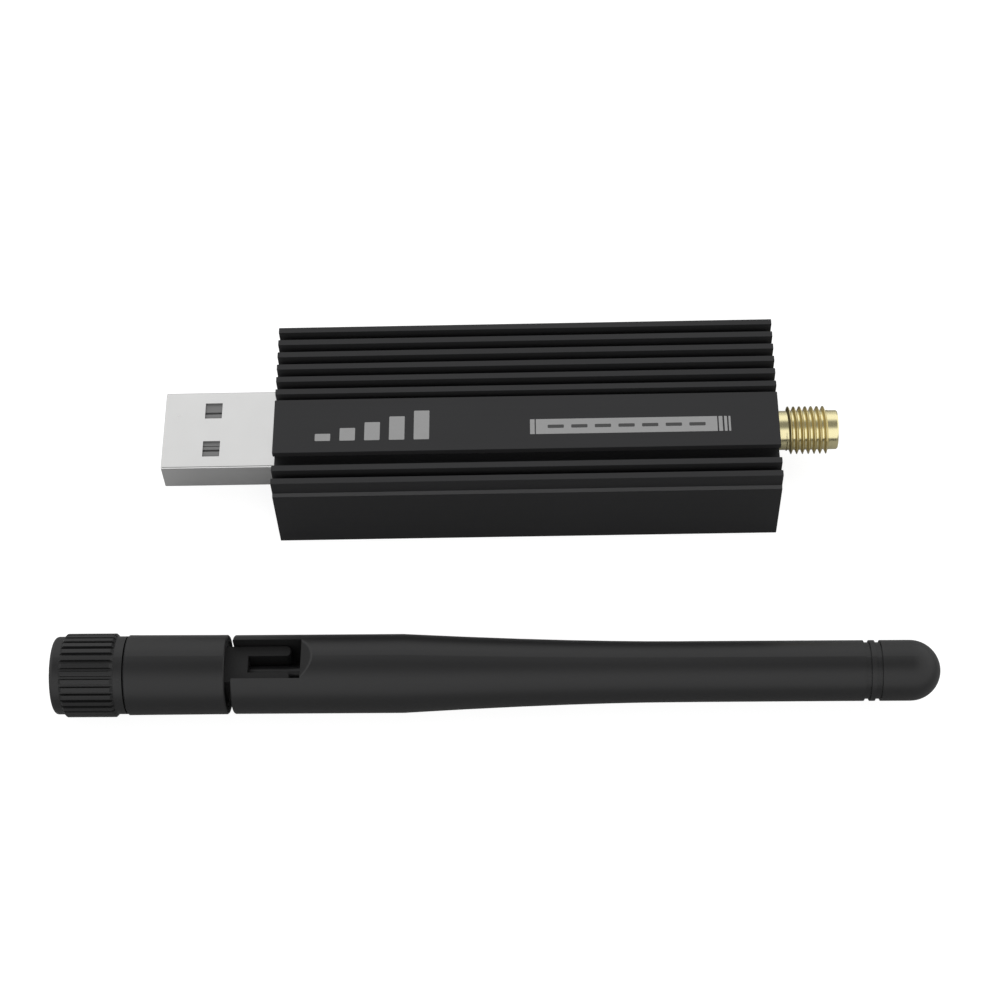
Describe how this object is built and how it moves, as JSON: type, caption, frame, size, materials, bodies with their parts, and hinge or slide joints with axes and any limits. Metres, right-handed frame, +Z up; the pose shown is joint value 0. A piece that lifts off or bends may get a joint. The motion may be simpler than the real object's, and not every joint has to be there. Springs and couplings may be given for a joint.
{
  "type": "usb radio stick",
  "caption": "Finned black aluminium stick with a USB plug at one end and a threaded coaxial jack at the other, and its tilting whip antenna unscrewed beside it.",
  "frame": {"origin": "centre of the housing's flat underside", "axes": "+X along the stick from the plug to the jack, +Y away from the antenna, +Z up through the fins"},
  "size_m": [0.1107, 0.0531, 0.0135],
  "materials": {
    "black_anodised_aluminium": "satin black anodised, fine drawing lines",
    "black_anodised_plate": "satin black anodised",
    "blackened_steel": "black oxide",
    "green_board": "solder mask over glass fibre",
    "black_package": "fine moulded grain",
    "metal_can": "plated can",
    "clear_lamp": "clear resin",
    "ceramic_block": "fired ceramic",
    "plated_steel": "bright nickel plate, faint rolling lines",
    "grey_insulator": "moulded",
    "gold_plate": "turned and gold plated",
    "white_insulator": "waxy white",
    "black_antenna_plastic": "fine matt moulded",
    "spring_bronze": "bright",
    "black_cable_jacket": "smooth jacket",
    "copper_wire": "bright copper"
  },
  "bodies": {
    "stick": {"housing": "black_anodised_aluminium", "usb_end_plate": "black_anodised_plate", "antenna_end_plate": "black_anodised_plate", "usb_plate_screws": "blackened_steel", "antenna_plate_screws": "blackened_steel", "circuit_board": "green_board", "radio_chip": "black_package", "bridge_chip": "black_package", "crystal": "metal_can", "regulator": "black_package", "status_leds": "clear_lamp", "capacitors": "ceramic_block", "usb_plug_shell": "plated_steel", "usb_plug_tongue": "grey_insulator", "usb_contacts": "gold_plate", "jack_body": "gold_plate", "jack_insulator": "white_insulator", "jack_pin": "gold_plate", "snap_ring": "spring_bronze", "plug_ferrule": "gold_plate", "plug_insulator": "white_insulator", "plug_socket": "gold_plate", "antenna_barrel": "black_antenna_plastic", "feed_cable_lower": "black_cable_jacket"},
    "antenna_grip": {"knurled_grip": "black_antenna_plastic", "coupling_nut": "gold_plate"},
    "antenna_whip": {"whip_sheath": "black_antenna_plastic", "tip_cap": "black_antenna_plastic", "feed_cable_upper": "black_cable_jacket", "sleeve_radiator": "spring_bronze", "radiator_wire": "copper_wire"}
  },
  "joints": [
    {"name": "grip_spin", "type": "hinge", "parent": "stick", "child": "antenna_grip", "pos_m": [-0.0595, -0.03505, 0.00524], "axis": [0.9999, -0.0101, 0], "continuous": true},
    {"name": "whip_tilt", "type": "hinge", "parent": "stick", "child": "antenna_whip", "pos_m": [-0.03235, -0.03532, 0.00524], "axis": [-0.0101, -0.9999, 0], "range_deg": [0, 90]}
  ]
}
